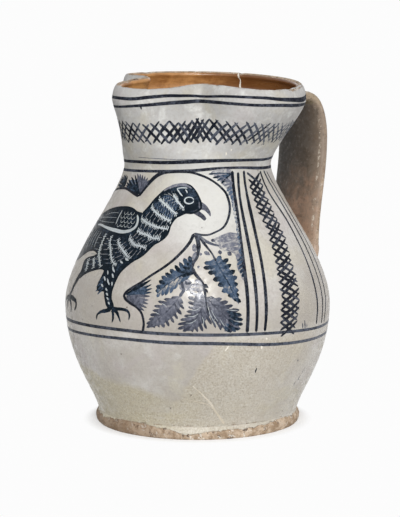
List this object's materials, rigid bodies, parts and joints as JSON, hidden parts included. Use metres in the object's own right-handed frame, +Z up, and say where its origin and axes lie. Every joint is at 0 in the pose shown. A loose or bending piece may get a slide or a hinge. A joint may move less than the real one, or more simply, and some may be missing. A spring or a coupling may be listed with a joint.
{
  "type": "trefoil-mouthed jug",
  "caption": "Round-bellied glazed earthenware pouring jug with a flared collar pinched to a trefoil mouth, a strap handle and blue painted bands, bird and leaves.",
  "frame": {"origin": "centre of the foot's flat underside, on the surface that the jug stands on", "axes": "+Z up along the axis the jug was thrown on, +X towards the handle, so the spout points along -X"},
  "size_m": [0.1975, 0.188, 0.2461],
  "materials": {
    "bare_clay": "fired earthenware, matt and chalky, worn along the foot and lip",
    "tin_glaze": "opaque greyish white glaze, glossy, crazed and pitted, with cobalt blue painting under its surface",
    "handle_glaze": "thin grey-brown glaze, worn through at the edges",
    "lead_glaze": "clear honey-brown glaze over the clay inside"
  },
  "bodies": {
    "root": {"foot_disc": "bare_clay", "belly_wall": "bare_clay", "neck_collar": "bare_clay", "handle_strap": "bare_clay", "handle_upper_lute": "bare_clay", "handle_lower_lute": "bare_clay", "belly_tin_glaze": "tin_glaze", "collar_tin_glaze": "tin_glaze", "handle_glaze": "handle_glaze", "belly_lead_glaze": "lead_glaze", "collar_lead_glaze": "lead_glaze"}
  },
  "joints": []
}
